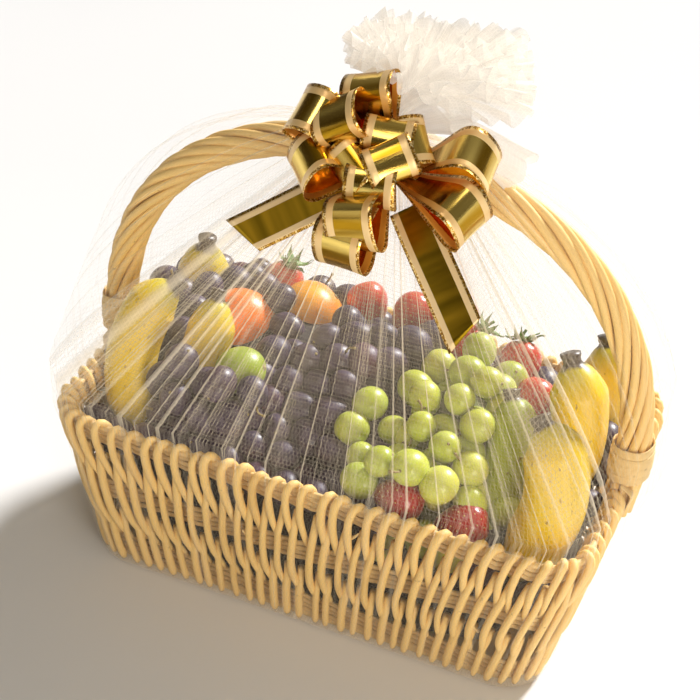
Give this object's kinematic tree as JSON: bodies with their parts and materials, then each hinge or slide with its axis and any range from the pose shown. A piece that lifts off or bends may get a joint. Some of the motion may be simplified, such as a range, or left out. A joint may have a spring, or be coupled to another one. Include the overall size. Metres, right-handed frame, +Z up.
{
  "type": "fruit gift basket",
  "caption": "Flared wicker basket with a twisted arch handle, filled with fruit and wrapped in a gathered net that a gold ribbon bow ties above the handle.",
  "frame": {"origin": "middle of the whole outline in plan, on the surface that the basket stands on", "axes": "+Z up, X along the basket's long side, -Y towards its front, where the bow hangs"},
  "size_m": [0.4038, 0.2294, 0.4106],
  "materials": {
    "willow": "satin",
    "cane": "satin",
    "net": "sheer",
    "ribbon": "metallic",
    "banana": "satin",
    "green_banana": "satin",
    "orange": "satin",
    "mango": "satin",
    "lime": "satin",
    "strawberry": "glossy",
    "leaf": "matte",
    "dark_grape": "satin",
    "green_grape": "satin"
  },
  "bodies": {
    "root": {"basket_base": "willow", "basket_wall": "willow", "basket_rim": "willow", "handle": "willow", "handle_binding_left": "cane", "handle_binding_right": "cane", "net": "net", "net_ruff": "net", "ribbon_bow": "ribbon", "ribbon_tail_left": "ribbon", "ribbon_tail_right": "ribbon", "banana_left_upright": "banana", "banana_left_front": "banana", "banana_left_inner": "banana", "banana_right_front": "banana", "banana_right_green": "green_banana", "banana_right_middle": "banana", "banana_right_rear": "banana", "orange": "orange", "mango": "mango", "lime": "lime", "strawberry_1": "strawberry", "strawberry_2": "strawberry", "strawberry_3": "strawberry", "strawberry_4": "strawberry", "strawberry_5": "strawberry", "strawberry_6": "strawberry", "strawberry_7": "strawberry", "strawberry_8": "strawberry", "strawberry_9": "strawberry", "leaves_of_strawberry_1": "leaf", "leaves_of_strawberry_5": "leaf", "leaves_of_strawberry_6": "leaf", "grapes_dark": "dark_grape", "grapes_green": "green_grape"}
  },
  "joints": []
}
